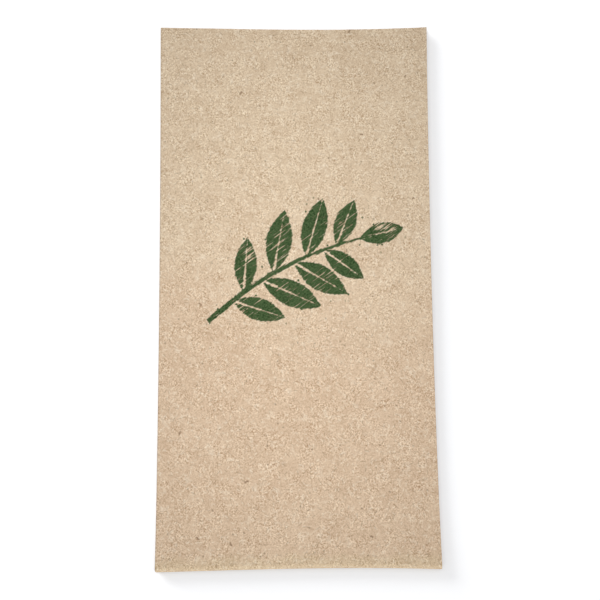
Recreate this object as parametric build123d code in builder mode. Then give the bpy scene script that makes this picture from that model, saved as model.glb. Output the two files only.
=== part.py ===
from build123d import *
from math import acos, degrees, pi, sin
import os

# Paper napkin in an eighth fold: one square sheet, folded in half twice along its length and
# once across, so that eight layers lie on each other. All lengths are in millimetres.

# The flat sheet
sheet_width = 400.0
sheet_length = 400.0
sheet_thickness = 0.2

# The folds
layer_gap = 0.08        # air between neighbouring layers of one half
edge_setback = 0.8      # from the closed fold in to the first free edge beside it
halves_gap = 0.2        # air between the two halves where they lie flat
loop_swell = 1.2        # how much further the halves stand apart in the loop of the cross fold
settle_radius = 120.0   # gentle bend by which the upper half comes down from that loop

# The two lengthwise folds. Layers 1 to 4 of one half are counted outwards from the cross fold's
# axis. The first fold joins layers 3 and 4. The second wraps layers 1 and 4 round 2 and 3.
layer_pitch = sheet_thickness + layer_gap
first_radius = layer_pitch / 2
inner_radius = layer_pitch / 2
outer_radius = inner_radius + layer_pitch
first_reach = first_radius + sheet_thickness / 2
second_reach = outer_radius + sheet_thickness / 2

# Widths of the flat panels: each half of the sheet keeps its length from the middle of the
# first fold, round the second fold, to its free edge.
half_width = sheet_width / 2
to_inner_flap = pi / 2 * first_radius + pi * inner_radius
to_outer_flap = pi / 2 * first_radius + pi * outer_radius
panel_width = (half_width + edge_setback - to_inner_flap - first_reach) / 2
inner_flap = half_width - to_inner_flap - panel_width
outer_flap = half_width - to_outer_flap - panel_width
folded_width = second_reach + panel_width + first_reach
second_x = second_reach - folded_width / 2
first_x = second_x + panel_width

# The cross fold: the distance of each layer from its axis, and the way down from the loop.
loop_radius = (halves_gap + loop_swell) / 2
layer_1 = loop_radius + sheet_thickness / 2
layer_2 = layer_1 + layer_pitch
layer_3 = layer_2 + layer_pitch
layer_4 = layer_3 + layer_pitch
turn_radius = layer_4 + sheet_thickness / 2
settle_angle = acos(1 - loop_swell / settle_radius)
settle_run = settle_radius * sin(settle_angle)
settle_rise = settle_radius - loop_swell
settle_arc = settle_radius * settle_angle

# A layer spends pi times its distance from the axis in the cross fold, so at the open end the
# outer layers stand back from the inner ones by half of that on each side.
half_length = sheet_length / 2
creep = pi / 2
folded_length = turn_radius + half_length - creep * loop_radius

# Placing: the lower half lies on the ground, and the origin is below the middle of the whole.
axis_y = turn_radius - folded_length / 2
axis_z = turn_radius
cross_axis = Axis((0, axis_y, axis_z), (-1, 0, 0))
settle_axis = Axis((0, axis_y + settle_run, axis_z + settle_rise), (1, 0, 0))
section_plane = Plane(origin=(0, axis_y, axis_z), x_dir=(1, 0, 0), z_dir=(0, 1, 0))
lower_cut = Plane(origin=(0, axis_y + half_length, axis_z), z_dir=(0, 1, -creep))
upper_end = axis_y + settle_run + half_length - settle_arc
upper_cut = Plane(origin=(0, upper_end, axis_z - loop_swell), z_dir=(0, 1, creep))

with BuildPart() as napkin:
    # Four layers of one half, drawn as the line that the sheet follows across its width
    with BuildSketch(section_plane) as section:
        with BuildLine():
            outer_edge = (second_x + outer_flap, layer_1)
            flap_1 = Line(outer_edge, (second_x, layer_1))
            wrap = TangentArc(flap_1 @ 1, (second_x, layer_4), tangent=flap_1 % 1)
            panel_4 = Line(wrap @ 1, (first_x, layer_4))
            first = TangentArc(panel_4 @ 1, (first_x, layer_3), tangent=panel_4 % 1)
            panel_3 = Line(first @ 1, (second_x, layer_3))
            inner = TangentArc(panel_3 @ 1, (second_x, layer_2), tangent=panel_3 % 1)
            flap_2 = Line(inner @ 1, (second_x + inner_flap, layer_2))
        trace(line_width=sheet_thickness)

    # Lower half, cut back to its creep
    extrude(amount=half_length)
    split(bisect_by=lower_cut, keep=Keep.BOTTOM)

    # Loop of the cross fold, carried past the half turn until it points down
    loop_turn = 180 + degrees(settle_angle)
    revolve(section.sketch, axis=cross_axis, revolution_arc=loop_turn)
    loop_end = section.sketch.rotate(cross_axis, loop_turn)

    # Bend that brings the upper half level again
    revolve(loop_end, axis=settle_axis, revolution_arc=degrees(settle_angle))
    upper_start = loop_end.rotate(settle_axis, degrees(settle_angle))

    # Upper half, cut back to its creep
    extrude(upper_start, amount=half_length, dir=(0, 1, 0))
    split(bisect_by=upper_cut, keep=Keep.BOTTOM)

napkin.part.label = "napkin"

os.makedirs("parts", exist_ok=True)
export_step(napkin.part, "parts/napkin.step")

box = napkin.part.bounding_box()
print(f"folded size {box.size.X:.2f} x {box.size.Y:.2f} x {box.size.Z:.2f}")
print(f"volume {napkin.part.volume:.1f}, flat sheet {sheet_width * sheet_length * sheet_thickness:.1f}")
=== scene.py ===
# %% [markdown]
# # A folded paper napkin
# The napkin is one square sheet of unbleached recycled tissue. It was folded in half twice along
# its length and once across, and it lies flat with its closed end towards us. A thin box with a
# paper finish would do from far away. This lesson folds the sheet the way the folding machine does
# instead, so that every layer that shows at the edges is real paper.

# %% The frame
import bpy
import math
import numpy as np
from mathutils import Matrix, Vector, noise


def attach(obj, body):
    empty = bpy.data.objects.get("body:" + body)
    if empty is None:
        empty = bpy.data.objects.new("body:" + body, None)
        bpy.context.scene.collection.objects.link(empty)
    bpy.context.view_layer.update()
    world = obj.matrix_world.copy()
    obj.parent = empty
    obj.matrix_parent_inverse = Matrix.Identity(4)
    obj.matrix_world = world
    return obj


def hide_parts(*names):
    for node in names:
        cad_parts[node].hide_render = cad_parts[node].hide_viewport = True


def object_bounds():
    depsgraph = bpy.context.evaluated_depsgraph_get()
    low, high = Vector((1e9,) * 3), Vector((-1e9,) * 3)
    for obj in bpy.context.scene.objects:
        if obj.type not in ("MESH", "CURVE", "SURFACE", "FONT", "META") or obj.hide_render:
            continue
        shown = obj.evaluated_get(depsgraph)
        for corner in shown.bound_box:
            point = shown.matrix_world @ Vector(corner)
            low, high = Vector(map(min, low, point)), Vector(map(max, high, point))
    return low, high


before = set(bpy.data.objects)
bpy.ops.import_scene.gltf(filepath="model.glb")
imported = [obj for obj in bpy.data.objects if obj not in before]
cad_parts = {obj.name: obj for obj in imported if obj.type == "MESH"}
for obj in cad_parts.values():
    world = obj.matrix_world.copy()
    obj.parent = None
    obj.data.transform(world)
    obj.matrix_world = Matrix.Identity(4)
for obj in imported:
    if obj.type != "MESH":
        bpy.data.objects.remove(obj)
cad_box = [list(corner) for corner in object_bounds()]
print("frame box, mm:", [[round(1000 * side, 2) for side in corner] for corner in cad_box])

# %% [markdown]
# ## The sizes of the sheet and its folds
# Paper doesn't stretch, so the flat sheet gives the folded size and not the other way round. Each
# layer needs room for the layers inside it, and what a fold takes up is missing at the free edge.
# The sizes could be measured on the frame's solid. They are worked out from the sheet, because the
# folding below needs the length of every panel and fold.

# %% Sheet and air, in metres
mm = 0.001
sheet_side = 400 * mm
sheet_thickness = 0.2 * mm
layer_gap = 0.08 * mm        # air between neighbouring layers of one half
half_layers = 4
half_sheet = sheet_side / 2
layer_pitch = sheet_thickness + layer_gap
print("layers", round(layer_pitch / mm, 2), "mm apart,", 2 * half_layers, "in all")

# %% Two folds along the length: a small one, and one that wraps round a small one
half_turn = math.pi
edge_setback = 0.8 * mm      # from the closed fold in to the first free edge beside it
small_radius = layer_pitch / 2
wrap_radius = small_radius + layer_pitch
small_fold = half_turn * small_radius
wrap_fold = half_turn * wrap_radius
small_reach = small_radius + sheet_thickness / 2
wrap_reach = wrap_radius + sheet_thickness / 2

# From the middle of the first fold to a free edge there are half of that fold, a panel, the second
# fold and a flap. The inner panel takes the small way round the second fold, the outer the wide one.
panel = (half_sheet + edge_setback - 1.5 * small_fold - small_reach) / 2
inner_flap = half_sheet - 1.5 * small_fold - panel
outer_flap = half_sheet - 0.5 * small_fold - wrap_fold - panel
folded_width = wrap_reach + panel + small_reach
wrap_x = wrap_reach - folded_width / 2
print("panels", round(panel / mm, 2), "mm wide, flaps", round(outer_flap / mm, 2), "and",
      round(inner_flap / mm, 2), "mm")

# %% The fold across, in which layers are counted outwards from its axis
quarter_turn = math.pi / 2
halves_gap = 0.2 * mm        # air between the two halves where they lie flat
loop_swell = 1.2 * mm        # how much further the halves stand apart in this fold
settle_radius = 300 * mm     # gentle bend by which the upper half comes down from there
loop_radius = (halves_gap + loop_swell) / 2
innermost = loop_radius + sheet_thickness / 2
outermost = innermost + (half_layers - 1) * layer_pitch
turn_radius = outermost + sheet_thickness / 2
settle_angle = math.acos(1 - loop_swell / settle_radius)
settle_run = settle_radius * math.sin(settle_angle)
folded_length = turn_radius + half_sheet - quarter_turn * loop_radius
axis_y = turn_radius - folded_length / 2
axis_z = turn_radius

frame_size = np.array(cad_box[1]) - np.array(cad_box[0])
worked_out = np.array([folded_width, folded_length, 2 * turn_radius])
print("folded size, mm:", (worked_out / mm).round(2))
print("off the frame by, mm:", ((worked_out - frame_size) / mm).round(3))

# %% [markdown]
# ## The flat sheet
# The sheet starts flat, as it leaves the roll. A plain grid would put as many lines on the empty
# panels as on the creases. Here its lines are moved: close together over each crease and beside it,
# wide apart over the middle of a panel. That keeps the folds round and the mesh light, and the flat
# sheet still has only clean quads.

# %% Grid lines
panel_steps = 44
half_steps = 76
small_cuts = 8
wrap_cuts = 12
cross_cuts = 22


def eased(start, end, steps):
    """Places from start to end, close together near both."""
    turn = np.linspace(0, half_turn, steps + 1)
    return start + (end - start) * (0.5 - 0.5 * np.cos(turn))


def evenly(start, end, steps):
    """Places from start to end, all the same way apart."""
    return np.linspace(start, end, steps + 1)


def grid_lines(moves):
    """Places of all lines, for a row of (length, steps, how they are spread)."""
    places = [0.0]
    for length, steps, spread in moves:
        places.extend(spread(places[-1], places[-1] + length, steps)[1:])
    return np.array(places)


cross_fold = half_turn * outermost
flat_half = half_sheet - cross_fold / 2
columns = grid_lines([
    (outer_flap, panel_steps, eased), (wrap_fold, wrap_cuts, evenly), (panel, panel_steps, eased),
    (small_fold, small_cuts, evenly), (panel, panel_steps, eased), (small_fold, small_cuts, evenly),
    (inner_flap, panel_steps, eased),
])
rows = grid_lines([
    (flat_half, half_steps, eased), (cross_fold, cross_cuts, evenly),
    (flat_half, half_steps, eased),
])
print("columns", len(columns), "to", round(columns[-1] / mm, 3), "mm")
print("rows", len(rows), "to", round(rows[-1] / mm, 3), "mm")


# %% Grid, with the flat place of every point kept for the paper's pattern
def deselect_all():
    """Nothing stays selected, so that an operator acts on the new piece alone."""
    for other in bpy.context.selected_objects:
        other.select_set(False)


def points_of(mesh):
    """The places of a mesh's points, one row each."""
    places = np.empty(3 * len(mesh.vertices))
    mesh.vertices.foreach_get("co", places)
    return places.reshape(-1, 3)


deselect_all()
bpy.ops.mesh.primitive_grid_add(
    x_subdivisions=len(columns) - 1, y_subdivisions=len(rows) - 1, size=2, location=(0, 0, 0))
napkin = bpy.context.object
napkin.name = "folded_napkin"
sheet = napkin.data
sheet.name = "folded_napkin"

unit = points_of(sheet)
column = ((unit[:, 0] + 1) / 2 * (len(columns) - 1)).round().astype(int)
row = ((unit[:, 1] + 1) / 2 * (len(rows) - 1)).round().astype(int)
across = columns[column]
along = rows[row]
flat_place = np.stack([across, along, np.zeros(len(across))], 1)
keeper = sheet.attributes.new("flat_sheet", "FLOAT_VECTOR", "POINT")
keeper.data.foreach_set("vector", flat_place.ravel().astype(np.float32))
print("flat sheet:", len(sheet.vertices), "points,", len(sheet.polygons), "faces")

# %% [markdown]
# ## A picture map that favours the side we see
# When the finish is baked into a picture, every part of the sheet shares its pixels. Smart UV
# Project would give each part its fair share and cut the sheet into islands. The outer panel is an
# eighth of the sheet but nearly all that shows, so this map gives it far more. The map is still the
# flat sheet, only stretched, so it has no seams.

# %% Map
panel_start = outer_flap
panel_end = outer_flap + wrap_fold + panel + small_fold
panel_share = (0.20, 0.80)   # from where to where the outer panel goes on the map
upper_start = half_sheet - cross_fold
upper_share = 0.20

map_across = np.interp(across, [0, panel_start, panel_end, sheet_side], [0, *panel_share, 1])
map_along = np.interp(along, [0, upper_start, sheet_side], [0, upper_share, 1])
map_place = np.stack([map_across, map_along], 1)
picture_map = sheet.uv_layers[0]
picture_map.name = "OFBake"
corner_point = np.empty(len(sheet.loops), int)
sheet.loops.foreach_get("vertex_index", corner_point)
picture_map.uv.foreach_set("vector", map_place[corner_point].ravel())
outer_share = (panel_share[1] - panel_share[0]) * (1 - upper_share)
print("outer panel's share of the map:", round(outer_share, 2))

# %% [markdown]
# ## Cut edges
# The web was cut by a rotary knife, which leaves an edge that wanders by a tenth of a millimetre or
# two. A Displace modifier would move the whole sheet. Here only the points near an edge move, on
# the flat sheet and before it is folded, because that is where the knife met it.

# %% Wandering edges
edge_wander = 0.22 * mm
wander_reach = 1.5 * mm
wander_waves = [(0.6, 9 * mm, 0), (0.4, 2.5 * mm, 7)]    # weight, length and shift of seed


def cloud(place_x, place_y, size, seed):
    """Smooth random values between about -1 and 1, with hills of this size."""
    found = [noise.noise(Vector((x / size, y / size, seed))) for x, y in zip(place_x, place_y)]
    return np.array(found)


def inward(distance, run, seed):
    """How far a cut edge stands back, at this distance from it and this far along it."""
    ragged = sum(weight * cloud(run, 0 * run, length, seed + shift)
                 for weight, length, shift in wander_waves)
    return edge_wander * (0.5 + 0.5 * ragged) * np.exp(-distance / wander_reach)


cut_along = along + inward(along, across, seed=1.5)
cut_along -= inward(sheet_side - along, across, seed=3.5)
cut_across = across + inward(across, along, seed=5.5)
cut_across -= inward(sheet_side - across, along, seed=8.5)
print("edges wander by up to", round(float(np.abs(cut_along - along).max() / mm), 2), "mm")


# %% [markdown]
# ## Folding
# A folded sheet follows a path of straight runs and round turns. Rotating parts of the mesh by hand
# would stretch it at the creases, and a cloth simulation would not give the sizes worked out above.
# So each point walks along that path by its own distance on the flat sheet, which never stretches
# it. The walk across the width makes the two lengthwise folds. The walk along the length then
# carries those four layers round the fold across, each at its own radius, so the outer layers come
# out short at the open end.

# %% Two lengthwise folds
def walk(moves, start, heading, distance):
    """Where a walk of this distance ends, on a path of (length, turn) moves."""
    left = distance.copy()
    first, second = (np.broadcast_to(value, left.shape).astype(float) for value in start)
    facing = np.full(left.shape, heading)
    for length, turn in moves:
        part = np.clip(left, 0, length)
        left = left - part
        bend = turn * part / length
        chord = part * np.sinc(bend / (2 * half_turn))
        first = first + chord * np.cos(facing + bend / 2)
        second = second + chord * np.sin(facing + bend / 2)
        facing = facing + bend
    return first, second


open_end = np.inf
width_path = [
    (outer_flap, 0), (wrap_fold, -half_turn), (panel, 0), (small_fold, -half_turn),
    (panel, 0), (small_fold, half_turn), (open_end, 0),
]
width_start = (wrap_x + outer_flap, innermost)
fold_x, layer_radius = walk(width_path, width_start, half_turn, cut_across)
print("across the width, mm:", (np.array([fold_x.min(), fold_x.max()]) / mm).round(2))

# %% Fold across, walked from the middle of the sheet both ways
from_middle = cut_along - half_sheet
loop_start = (axis_y - layer_radius, axis_z)
lower_path = [(quarter_turn * layer_radius, quarter_turn), (open_end, 0)]
past_top = quarter_turn + settle_angle
upper_path = [
    (past_top * layer_radius, -past_top),
    (settle_angle * (settle_radius - layer_radius), settle_angle),
    (open_end, 0),
]
lower_y, lower_z = walk(lower_path, loop_start, -quarter_turn, np.maximum(-from_middle, 0))
upper_y, upper_z = walk(upper_path, loop_start, quarter_turn, np.maximum(from_middle, 0))
is_upper = from_middle > 0
walked_y = np.where(is_upper, upper_y, lower_y)
fold_z = np.where(is_upper, upper_z, lower_z)
print("along the length, mm:", (np.array([walked_y.min(), walked_y.max()]) / mm).round(2))

# %% [markdown]
# ## Crepe
# Tissue is creped: it has fine cross wrinkles and gives a little when it is pulled. So on the real
# napkin most of what the outer layers came out short is pulled level again. Moving the open ends
# alone would leave a step, so each layer is drawn out evenly, from the fold across to its open end.

# %% Crepe that gives
pulled_level = 0.8
to_open_end = np.clip((walked_y - axis_y) / (folded_length / 2 - axis_y), 0, 1)
came_short = quarter_turn * (layer_radius - innermost)
fold_y = walked_y + pulled_level * came_short * to_open_end
most_short = float(came_short.max() / mm)
print("outer layers came short by", round(most_short, 2), "mm, of which",
      round((1 - pulled_level) * most_short, 2), "mm is left")

# %% [markdown]
# ## Air between the layers
# A napkin out of its pack isn't pressed any more. Air lifts its layers towards the open end, a
# little more here and a little less there, while the closed end holds them together. Noise on every
# layer by itself would let them cross. Here every gap only ever gets wider, and all that lies above
# a gap rises with it, so no layer passes another.

# %% Lift
layer_heights = [sheet_thickness / 2 + step * layer_pitch for step in range(half_layers)]
upper_foot = layer_heights[-1] + sheet_thickness + halves_gap
layer_heights += [upper_foot + step * layer_pitch for step in range(half_layers)]
most_air = [0.05, 0.07, 0.05, 0.5, 0.06, 0.12, 0.10]    # mm, in the gaps from the table up
mean_share = 0.55
share_swing = 0.45
air_seed = 20.5
hill_size = 38 * mm
puff_start = axis_y + settle_run


def smooth_step(low, high, value):
    """0 below low, 1 above high and an even rise between them."""
    share = np.clip((value - low) / (high - low), 0, 1)
    return share * share * (3 - 2 * share)


towards_open = smooth_step(puff_start, folded_length / 2, fold_y)
lift = np.zeros(len(fold_z))
for gap, most in enumerate(most_air):
    above = smooth_step(layer_heights[gap], layer_heights[gap + 1], fold_z)
    uneven = mean_share + share_swing * cloud(fold_x, fold_y, hill_size, air_seed + gap)
    lift += most * mm * above * towards_open * uneven
print("open end rises by up to", round(float(lift.max() / mm), 2), "mm")

# %% [markdown]
# ## The sheet's own unevenness
# Tissue is never quite flat: soft hills and hollows a few centimetres wide catch the light. A bump
# in the finish would show them from above but not at the edges, so they are in the mesh. They fade
# out at the bottom, where the table holds the paper flat. The four edges also draw in a little
# between the corners, and the left one least, where the second fold wraps the first.

# %% Hills, and edges that draw in
hill_height = 0.20 * mm
hill_seed = 40.5
dimple_height = 0.06 * mm
dimple_size = 14 * mm
dimple_seed = 50.5
open_draw = 0.85 * mm
closed_draw = 0.75 * mm
end_lean = 0.4               # how much more of it there is towards the right
left_draw = 0.50 * mm
right_draw = 0.84 * mm

off_table = smooth_step(0, upper_foot, fold_z)
hills = hill_height * cloud(fold_x, fold_y, hill_size, hill_seed)
hills += dimple_height * cloud(fold_x, fold_y, dimple_size, dimple_seed)
place_z = fold_z + lift + off_table * (hills + hill_height)
share_x = fold_x / (folded_width / 2)
share_y = fold_y / (folded_length / 2)
side_draw = np.where(share_x > 0, right_draw, left_draw)
end_draw = np.where(share_y > 0, open_draw, closed_draw)
place_x = fold_x - side_draw * share_x * (1 - share_y ** 2)
place_y = fold_y - end_draw * share_y * (1 - share_x ** 2) * (1 + end_lean * share_x)
folded_place = np.stack([place_x, place_y, place_z], 1)
sheet.vertices.foreach_set("co", folded_place.ravel())
sheet.update()
print("height, mm:", (np.array([place_z.min(), place_z.max()]) / mm).round(2))

# %% [markdown]
# ## Thickness
# The sheet so far has no thickness. Extruding it would push all of it to one side. Solidify gives
# it the two plies' worth, half to each side of the folded line, and closes the cut edges. Smooth
# shading rounds the folds, while the sharp rim of the cut edges stays sharp.

# %% Solidify
rim_angle = math.radians(50)
solidify = napkin.modifiers.new("two_plies", "SOLIDIFY")
solidify.thickness = sheet_thickness
solidify.offset = 0
solidify.use_even_offset = True
bpy.ops.object.modifier_apply(modifier=solidify.name)
bpy.ops.object.shade_smooth_by_angle(angle=rim_angle)
triangles = sum(len(face.vertices) - 2 for face in sheet.polygons)
print("napkin:", len(sheet.vertices), "points,", triangles, "triangles")


# %% [markdown]
# ## Shader sums
# A pattern could be wired up by hand in the shader editor, but it is easier to read as a sum. This
# class holds one output of a node, and arithmetic on it adds the Math nodes. Any other node comes
# from its node method, and the methods after that are short names for those used most.

# %% Shader class
class Wire:
    """One output socket, on which arithmetic adds Math nodes."""

    def __init__(self, tree, socket=None):
        self.tree = tree
        self.socket = socket

    def node(self, kind, settings, inputs, out=0):
        """One output of a new node, with these settings and these values or wires going in."""
        made = self.tree.nodes.new(kind)
        for name, value in settings.items():
            setattr(made, name, value)
        for name, value in inputs.items():
            if isinstance(value, Wire):
                self.tree.links.new(value.socket, made.inputs[name])
            else:
                made.inputs[name].default_value = value
        return Wire(self.tree, made.outputs[out])

    def math(self, operation, *values):
        """A Math node on one or two values."""
        return self.node("ShaderNodeMath", {"operation": operation}, dict(enumerate(values)))

    def __add__(self, other):
        return self.math("ADD", self, other)

    def __sub__(self, other):
        return self.math("SUBTRACT", self, other)

    def __rsub__(self, other):
        return self.math("SUBTRACT", other, self)

    def __mul__(self, other):
        return self.math("MULTIPLY", self, other)

    def __truediv__(self, other):
        return self.math("DIVIDE", self, other)

    def __rtruediv__(self, other):
        return self.math("DIVIDE", other, self)

    def __abs__(self):
        return self.math("ABSOLUTE", self)

    __radd__ = __add__
    __rmul__ = __mul__

    def least(self, other):
        """The smaller of the two."""
        return self.math("MINIMUM", self, other)

    def most(self, other):
        """The larger of the two."""
        return self.math("MAXIMUM", self, other)

    def below(self, limit):
        """1 where this is below the limit, 0 elsewhere."""
        return self.math("LESS_THAN", self, limit)

    def above(self, low, high):
        """0 where this is below low, 1 above high, and soft between."""
        return self.node("ShaderNodeMapRange", {"interpolation_type": "SMOOTHSTEP"},
                         {"Value": self, "From Min": low, "From Max": high})

    def vector(self, operation, inputs, out="Vector"):
        """A Vector Math node on this and its other inputs."""
        return self.node("ShaderNodeVectorMath", {"operation": operation}, {0: self, **inputs}, out)

    def part(self, axis):
        """X, Y or Z of a vector."""
        return self.node("ShaderNodeSeparateXYZ", {}, {0: self}, axis)

    def channel(self, name):
        """Red, Green or Blue of a colour."""
        return self.node("ShaderNodeSeparateColor", {}, {0: self}, name)

    def mix(self, first, second, share, way="MIX"):
        """The first colour with a share of the second over it, by the Mix node's colour sockets."""
        settings = {"data_type": "RGBA", "clamp_factor": True, "blend_type": way}
        return self.node("ShaderNodeMix", settings, {0: share, 6: first, 7: second}, 2)

    def blend(self, other, share, way="MIX"):
        """This colour, with a share of another over it."""
        return self.mix(self, other, share, way)

    def into(self, socket):
        """Links this to a shader's socket."""
        self.tree.links.new(self.socket, socket)


print("made a class for shader sums:", Wire.__name__)


# %% [markdown]
# ## Paper, seen close
# Recycled tissue is a felt of fibres from many sources. From a step away it shows as grain, pale
# and dark spots about half a millimetre wide, in cloudy patches where the pulp settled thicker. A
# scan of paper would give that too, but it ends somewhere and shows its seams. Noise goes on for
# ever. It follows the flat sheet, so that it runs on round the folds as in real paper.

# %% Material, and the place on the flat sheet in mm
def new_material(name):
    """A material with only its shader, and a wire to start from."""
    material = bpy.data.materials.new(name)
    material.use_nodes = True
    shader = material.node_tree.nodes["Principled BSDF"]
    return material, shader, Wire(material.node_tree)


tissue, tissue_shader, start = new_material("recycled_tissue")
flat_metres = start.node("ShaderNodeAttribute", {"attribute_name": "flat_sheet"}, {}, "Vector")
flat_mm = flat_metres.vector("SCALE", {"Scale": 1 / mm})
print("material", tissue.name)

# %% Grain and clouds
aslant = (0.55, 0.35, 0.60)
weakest_grain = 0.55
grain_swing = 0.9
stronger_fade = (-0.16, 0.16)


def mottle(size, detail=2.0, rough=0.5, shift=0.0):
    """Noise around zero with spots of this size in mm, cut aslant so that it has no rows."""
    place = start.node("ShaderNodeMapping", {}, {
        "Vector": flat_mm, "Location": (shift, shift, shift), "Rotation": aslant})
    found = start.node("ShaderNodeTexNoise", {"noise_dimensions": "3D"}, {
        "Vector": place, "Scale": 1 / size, "Detail": detail, "Roughness": rough})
    return found - 0.5


flocks = mottle(2.4, shift=13)
clouds = mottle(7.0, shift=31)
patches = mottle(28.0, detail=1, shift=57)
stronger = mottle(4.5, detail=1, shift=71).above(*stronger_fade)
grain = mottle(0.53, rough=0.6) * (weakest_grain + grain_swing * stronger)
print("grain, flocks, clouds and patches made, nodes so far:", len(tissue.node_tree.nodes))

# %% [markdown]
# ## Fibres, specks and chips
# Single fibres stand out from the felt: short dark, brown and pale ones, specks of old ink, and
# here and there a chip of brown board that was not beaten to pulp. Thousands of them as hair would
# be heavy and could not be baked. A Voronoi texture gives each cell of the sheet a middle and three
# chances. One turns the fibre, one says whether it is there at all, and one gives its length.

# %% Scattered fibres
fibre_curl = 0.25
side_fade = (0.3, 0.7)       # from where to where a fibre fades sideways, in its widths
end_fade = (0.75, 1.1)       # and at its ends, in its reach from the middle
least_reach = 0.25           # reach of the shortest and of the longest, in full lengths
most_reach = 0.50


def scattered(cell, length, width, share, shift):
    """Short bent fibres, one to a cell and turned at random, in a share of the cells; in mm."""
    place = flat_mm.vector("ADD", {1: (shift, shift, 0)}).vector("SCALE", {"Scale": 1 / cell})
    cells = {"voronoi_dimensions": "2D", "feature": "F1"}
    on_cells = {"Vector": place, "Scale": 1.0}
    centre = start.node("ShaderNodeTexVoronoi", cells, on_cells, "Position")
    chance = start.node("ShaderNodeTexVoronoi", cells, on_cells, "Color")
    off_centre = place.vector("SUBTRACT", {1: centre})
    turn = chance.channel("Red") * (2 * half_turn)
    turned = start.node("ShaderNodeVectorRotate", {"rotation_type": "Z_AXIS"},
                        {"Vector": off_centre, "Angle": turn})
    lengthwise = turned.part("X") * cell
    sideways = turned.part("Y") * cell
    curl = lengthwise * lengthwise * (fibre_curl / length)
    near_line = 1 - abs(sideways - curl).above(side_fade[0] * width, side_fade[1] * width)
    reach = (least_reach + (most_reach - least_reach) * chance.channel("Blue")) * length
    within = 1 - (abs(lengthwise) / reach).above(*end_fade)
    return near_line * within * chance.channel("Green").below(share)


dark_fibres = scattered(cell=3.2, length=2.2, width=0.28, share=0.5, shift=3.0)
brown_fibres = scattered(cell=1.7, length=1.6, width=0.30, share=0.6, shift=17.0)
pale_fibres = scattered(cell=2.2, length=1.5, width=0.36, share=0.6, shift=41.0)
specks = scattered(cell=7.5, length=0.9, width=0.50, share=0.4, shift=73.0)
chips = scattered(cell=21.0, length=1.8, width=0.62, share=0.35, shift=151.0)
print("fibres, specks and chips made, nodes so far:", len(tissue.node_tree.nodes))

# %% [markdown]
# ## Winding fibres
# The longest fibres lie in bends over several millimetres. Curves laid on the sheet would have to
# follow its folds. The line along which smooth noise passes zero winds in the same way and costs
# little, and a second noise breaks it into pieces.

# %% Winding fibres
line_fade = (0.15, 0.60)     # from where to where a line fades, in its widths
piece_size = 1.4             # in bends
piece_fade = (-0.02, 0.06)


def winding(size, width, shift):
    """Long thin bent lines of this width, with bends of this size, broken into pieces; in mm."""
    slope = width / size
    off_line = abs(mottle(size, detail=0.5, shift=shift))
    line = 1 - off_line.above(line_fade[0] * slope, line_fade[1] * slope)
    pieces = mottle(piece_size * size, detail=1, shift=shift + 5).above(*piece_fade)
    return line * pieces


pale_windings = winding(size=2.6, width=0.22, shift=201.0)
dark_windings = winding(size=3.1, width=0.20, shift=227.0)
print("winding fibres made, nodes so far:", len(tissue.node_tree.nodes))


# %% [markdown]
# ## The paper's colour
# Unbleached pulp is a warm beige that isn't the same all over. Here the half of the outer panel by
# the closed end is a little rosier than the other, and the fold itself is nearer to straw. One flat
# colour with grain would look printed. So the grain chooses between a dark and a pale beige, thin
# filters shift the tint along the sheet, and the fibres lie on top in their own colours.

# %% Colours
def colour(red, green, blue):
    """A picture's colour, 0 to 255, in a shader's linear values, by the sRGB curve."""
    shares = [part / 255 for part in (red, green, blue)]
    linear = [share / 12.92 if share <= 0.04045 else ((share + 0.055) / 1.055) ** 2.4
              for share in shares]
    return (*linear, 1)


paper_dark = colour(182, 152, 120)
paper_pale = colour(249, 231, 203)
rosy_filter = (1.0, 0.953, 0.946, 1)
straw_filter = (1.0, 0.986, 0.946, 1)
fibre_brown = colour(150, 121, 90)
fibre_dark = colour(112, 88, 62)
fibre_pale = colour(252, 240, 219)
speck_dark = colour(84, 68, 50)
chip_brown = colour(122, 93, 66)
print("pale paper, linear:", [round(part, 3) for part in paper_pale[:3]])

# %% Paper colour
mean_shade = 0.495
rosy_fade = (255, 345)       # where the rosy tint goes, in mm along the sheet
rosy_wander = 60
straw_fade = (2.5, 7.5)      # where the straw tint goes, in mm from the fold across
straw_wander = 6

shade = mean_shade + 1.76 * grain + 0.27 * flocks + 0.29 * clouds + 0.10 * patches
along_sheet = flat_mm.part("Y")
from_fold = abs(along_sheet - half_sheet / mm)
rosy_half = 1 - (along_sheet + rosy_wander * patches).above(*rosy_fade)
at_fold = 1 - (from_fold + straw_wander * clouds).above(*straw_fade)
paper = start.mix(paper_dark, paper_pale, shade)
paper = paper.blend(rosy_filter, rosy_half * (1 - at_fold), "MULTIPLY")
paper = paper.blend(straw_filter, at_fold, "MULTIPLY")
laid_on = [
    (fibre_pale, 0.24, pale_windings), (fibre_brown, 0.18, dark_windings),
    (fibre_pale, 0.40, pale_fibres), (fibre_brown, 0.18, brown_fibres),
    (fibre_dark, 0.29, dark_fibres), (speck_dark, 0.40, specks), (chip_brown, 0.62, chips),
]
for fibre_colour, opacity, fibres in laid_on:
    paper = paper.blend(fibre_colour, opacity * fibres)
print("paper colour made, with", len(laid_on), "kinds of fibre on it")

# %% [markdown]
# ## The print
# The outer panel carries a print in one green ink: a sprig with leaves, brushed rather than drawn.
# A picture of it would be blurred when seen close, so it is made of simple shapes. A leaf is a lens
# with a bare rib down its middle, and the stem is a bent band. Each shape gives how far a point
# lies inside it, in millimetres, and the largest of these is the whole sprig.

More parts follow.
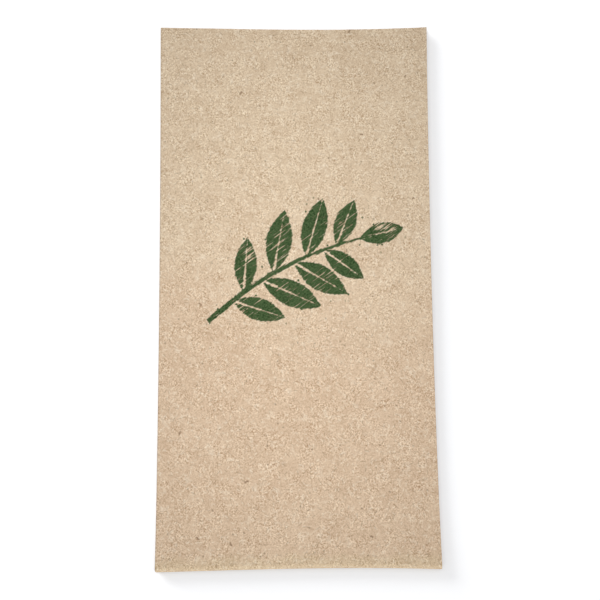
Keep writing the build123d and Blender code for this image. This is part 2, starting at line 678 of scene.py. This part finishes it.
# %% Place of the print
print_x = -2.4 * mm
print_y = 5.4 * mm
sprig_tilt = math.radians(27)
panel_zero = outer_flap + wrap_fold - wrap_x
upper_bends = quarter_turn * outermost + settle_angle * settle_radius
upper_zero = half_sheet + upper_bends - (axis_y + settle_run)
print_middle = ((panel_zero + print_x) / mm, (upper_zero + print_y) / mm, 0.0)
on_sprig = start.node("ShaderNodeMapping", {"vector_type": "TEXTURE"}, {
    "Vector": flat_mm, "Location": print_middle, "Rotation": (0, 0, sprig_tilt)})
print("middle of the print on the flat sheet, mm:", [round(place, 1) for place in print_middle[:2]])

# %% Stem, in mm
sprig_half = 35.0
stem_bow = 5.0
stem_width = 2.2
stem_taper = 0.009

stem_run = on_sprig.part("X")
stem_rise = on_sprig.part("Y")
stem_line = stem_bow / 2 - stem_run * stem_run * (stem_bow / sprig_half ** 2)
in_stem = stem_width / 2 - stem_taper * (stem_run + sprig_half) - abs(stem_rise - stem_line)
stem = in_stem.least(sprig_half - abs(stem_run))
print("stem", 2 * sprig_half, "mm long")

# %% Leaves, in mm
rib_width = 0.55
# Each pair's place along the stem, length and width
leaf_rows = [(-21, 20.5, 8.4), (-8, 24, 9.6), (5.5, 23, 9.3), (17.5, 18.5, 8.0)]
# Each side's degrees from the stem, and how much further along it that leaf is
leaf_sides = [(50, 2.5), (-56, -2.5)]
tip_leaf = {"base_run": sprig_half - 6, "turn": 0, "length": 17, "width": 8.0}


def leaf(base_run, turn, length, width):
    """How far a point is inside a leaf that grows from the stem, this far along it."""
    base_rise = stem_bow * (1 - (base_run / sprig_half) ** 2) - stem_bow / 2
    slope = math.atan(-2 * stem_bow * base_run / sprig_half ** 2)
    heading = slope + math.radians(turn)
    middle_run = base_run + 0.5 * length * math.cos(heading)
    middle_rise = base_rise + 0.5 * length * math.sin(heading)
    place = start.node("ShaderNodeMapping", {"vector_type": "TEXTURE"}, {
        "Vector": on_sprig, "Location": (middle_run, middle_rise, 0),
        "Rotation": (0, 0, heading), "Scale": (length / 2, width / 2, 1)})
    run = place.part("X")
    off = abs(place.part("Y"))
    inside = (1 - run * run - off) * (width / 2)
    beside_rib = off * (width / 2) + run * (rib_width / 2) - rib_width / 4
    return inside.least(beside_rib)


sprig = stem
for base_run, length, width in leaf_rows:
    for turn, further in leaf_sides:
        sprig = sprig.most(leaf(base_run + further, turn, length, width))
sprig = sprig.most(leaf(**tip_leaf))
print("sprig of", len(leaf_rows) * len(leaf_sides) + 1, "leaves")

# %% [markdown]
# ## Dry brush
# A brush that runs dry leaves streaks along its way and ragged ends, and flicks a few drops beside
# the stroke. Painting that by hand would need a picture again. Noise that is drawn out along the
# brush's way moves the edge of the shapes, and where it is low it leaves the paper bare.

# %% Ink
brush_way = math.radians(36)
rag_depth = 1.1              # mm by which noise moves the edge of the shapes
streak_depth = 1.2
ink_fade = (-0.15, 0.25)     # mm inside that edge
dry_fade = (-0.27, -0.13)
drop_fade = (-5.0, -0.8)     # mm inside the shapes, so drops fall beside them


def drawn_out(length, width, turn=0.0, detail=2.0, rough=0.5):
    """Noise around zero with spots of this length and width in mm, on a turned line."""
    place = start.node("ShaderNodeMapping", {"vector_type": "TEXTURE"}, {
        "Vector": flat_mm, "Rotation": (0, 0, turn), "Scale": (length, width, 1)})
    found = start.node("ShaderNodeTexNoise", {"noise_dimensions": "2D"}, {
        "Vector": place, "Scale": 1.0, "Detail": detail, "Roughness": rough})
    return found - 0.5


streaks = drawn_out(9.0, 0.55, turn=brush_way, detail=3, rough=0.6)
ragged = mottle(1.3, detail=3, rough=0.6, shift=83)
thin_spots = mottle(9.0, detail=1, shift=97)
cover = (sprig + rag_depth * ragged + streak_depth * streaks).above(*ink_fade)
wet = (streaks + 0.35 * grain + 0.45 * thin_spots).above(*dry_fade)
flicked = scattered(cell=2.6, length=0.9, width=0.7, share=0.16, shift=131.0)
ink = (cover * wet).most(flicked * sprig.above(*drop_fade))
print("ink made, nodes so far:", len(tissue.node_tree.nodes))

# %% [markdown]
# ## The tissue's finish
# Tissue is matt, and its felt and crepe are rough to the touch. In the mesh they would take millions
# of points, so they are a bump, made from the same grain and fibres as the colour so that light and
# colour agree. The ink sinks in, looks thinner on high grain and shines a little more than paper.

# %% Tissue finish
ink_green = colour(32, 59, 25)
ink_thin = colour(74, 96, 60)
ink_opacity = 0.99
thin_fade = (-0.20, 0.15)
paper_rough = 0.92
ink_rough = 0.80
tissue_gloss = 0.08
felt_depth = 0.07 * mm
crepe_length = 0.8
crepe_width = 6.0 * crepe_length

ink_colour = start.mix(ink_green, ink_thin, (grain + 0.4 * streaks).above(*thin_fade))
finished = paper.blend(ink_colour, ink_opacity * ink)
ripples = drawn_out(crepe_width, crepe_length)
felt = grain + 0.4 * flocks + 0.25 * ripples + 0.2 * pale_fibres + 0.15 * dark_fibres
bumps = start.node("ShaderNodeBump", {}, {
    "Strength": 1.0, "Distance": felt_depth, "Height": felt}, "Normal")
roughness = paper_rough - (paper_rough - ink_rough) * ink

finished.into(tissue_shader.inputs["Base Color"])
roughness.into(tissue_shader.inputs["Roughness"])
bumps.into(tissue_shader.inputs["Normal"])
tissue_shader.inputs["Specular IOR Level"].default_value = tissue_gloss
sheet.materials.append(tissue)
print("tissue has", len(tissue.node_tree.nodes), "nodes")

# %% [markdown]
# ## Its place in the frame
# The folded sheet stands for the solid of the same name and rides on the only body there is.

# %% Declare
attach(napkin, "root")
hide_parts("napkin")
print("declared", napkin.name)

# %% [markdown]
# ## Floor
# The napkin lies on a white table. A shadow catcher would need a second layer in the picture, so
# this is a plain white plane, a trace cool. Its own light to the camera makes it plain white, more
# so far away, where the lamps don't reach, and the napkin's shadow still falls on it.

# %% Floor
floor_side = 6.0
table_white = (0.922, 0.93, 0.95, 1)
table_rough = 0.9
table_gloss = 0.1
deselect_all()
bpy.ops.mesh.primitive_plane_add(size=floor_side, location=(0, 0, 0))
floor = bpy.context.object
floor.name = "floor"
white_table, table_shader, table_start = new_material("white_table")
table_shader.inputs["Base Color"].default_value = table_white
table_shader.inputs["Roughness"].default_value = table_rough
table_shader.inputs["Specular IOR Level"].default_value = table_gloss
floor.data.materials.append(white_table)
print("floor", floor_side, "m wide")

# %% Glow of the floor
near_glow = 0.293
far_glow = 0.88
glow_fade = (0.18, 1.2)      # metres from the middle


def seen_directly(begin):
    """1 for what the camera sees, straight or in a gloss or through glass."""
    rays = ["Is Camera Ray", "Is Glossy Ray", "Is Transmission Ray"]
    straight, glossy, through = (begin.node("ShaderNodeLightPath", {}, {}, ray) for ray in rays)
    return straight.most(glossy).most(through)


on_table = table_start.node("ShaderNodeTexCoord", {}, {}, "Object")
far_off = on_table.vector("LENGTH", {}, "Value").above(*glow_fade)
glow = (near_glow + (far_glow - near_glow) * far_off) * seen_directly(table_start)
glow_parts = {"Red": glow, "Green": glow, "Blue": glow}
glow_grey = table_start.node("ShaderNodeCombineColor", {}, glow_parts)
glow_grey.into(table_shader.inputs["Emission Color"])
table_shader.inputs["Emission Strength"].default_value = 1.0
print("glow", near_glow, "near the napkin and", far_glow, "far off")

# %% [markdown]
# ## Light
# Soft light comes from all round. A low soft box hangs over the napkin, so that its middle is the
# brightest, and a lamp in front catches the round lip of the closed end. These two are linked to
# the paper alone, as flags and screens keep lamps off the table in a studio, and they don't bounce
# from the paper onto the table. Two more are linked to the table: one above it, which lights it
# evenly, and a wide one to the upper left, which throws the soft shadow to the right and to the
# front. One set of lamps for both could not light each as it should be.

# %% World
ambient = 0.31
seen_white = 1.06
world = bpy.data.worlds.new("studio")
bpy.context.scene.world = world
world.use_nodes = True
backdrop = world.node_tree.nodes["Background"]
backdrop_light = ambient + (seen_white - ambient) * seen_directly(Wire(world.node_tree))
backdrop_light.into(backdrop.inputs["Strength"])
backdrop.inputs["Color"].default_value = (1, 1, 1, 1)
print("ambient", ambient)


# %% Lamps
def soft_box(name, place, aim, size, watts, lit):
    """A soft lamp that faces a point and lights one thing, not seen itself."""
    bpy.ops.object.light_add(type="AREA", location=place)
    lamp = bpy.context.object
    lamp.name = name
    lamp.data.shape = "RECTANGLE"
    lamp.data.size, lamp.data.size_y = size
    lamp.data.energy = watts
    lamp.rotation_euler = (Vector(aim) - Vector(place)).to_track_quat("-Z", "Y").to_euler()
    lamp.visible_camera = False
    if lit == napkin:
        lamp.data.cycles.max_bounces = 0
    lit_by_lamp = bpy.data.collections.new(name + "_lights")
    lit_by_lamp.objects.link(lit)
    lamp.light_linking.receiver_collection = lit_by_lamp


middle = (0, 0, 0)
soft_box("overhead_box", place=(-0.007, 0.009, 0.123), aim=(-0.007, 0.009, 0),
         size=(0.02, 0.202), watts=0.088, lit=napkin)
soft_box("front_box", place=(0.30, -1.56, 1.25), aim=middle,
         size=(0.6, 0.5), watts=19.5, lit=napkin)
soft_box("upper_left_box", place=(-1.52, 1.40, 0.52), aim=middle,
         size=(1.2, 1.2), watts=49.5, lit=floor)
soft_box("table_box", place=(0, 0, 0.7), aim=middle,
         size=(0.9, 0.9), watts=2.2, lit=floor)

# %% [markdown]
# ## Camera
# The napkin is seen from nearly straight above, a little from the front, so its far end is slightly
# narrower than its near one. A camera set by eye would leave the outline off by some pixels. Its
# place and turn were worked out from the four corners of the outline.

# %% Camera
camera_place = (-0.00427, -0.05590, 0.36287)
camera_turn = [math.radians(turn) for turn in (8.144, -0.815, -0.538)]
camera_lens = 60.0
bpy.ops.object.camera_add(location=camera_place, rotation=camera_turn)
camera = bpy.context.object
camera.name = "camera"
camera.data.sensor_width = 36.0
camera.data.lens = camera_lens
camera.data.clip_start = 0.01
bpy.context.scene.camera = camera
bpy.context.scene.view_settings.view_transform = "Standard"
print("camera", camera_place, "lens", camera_lens)
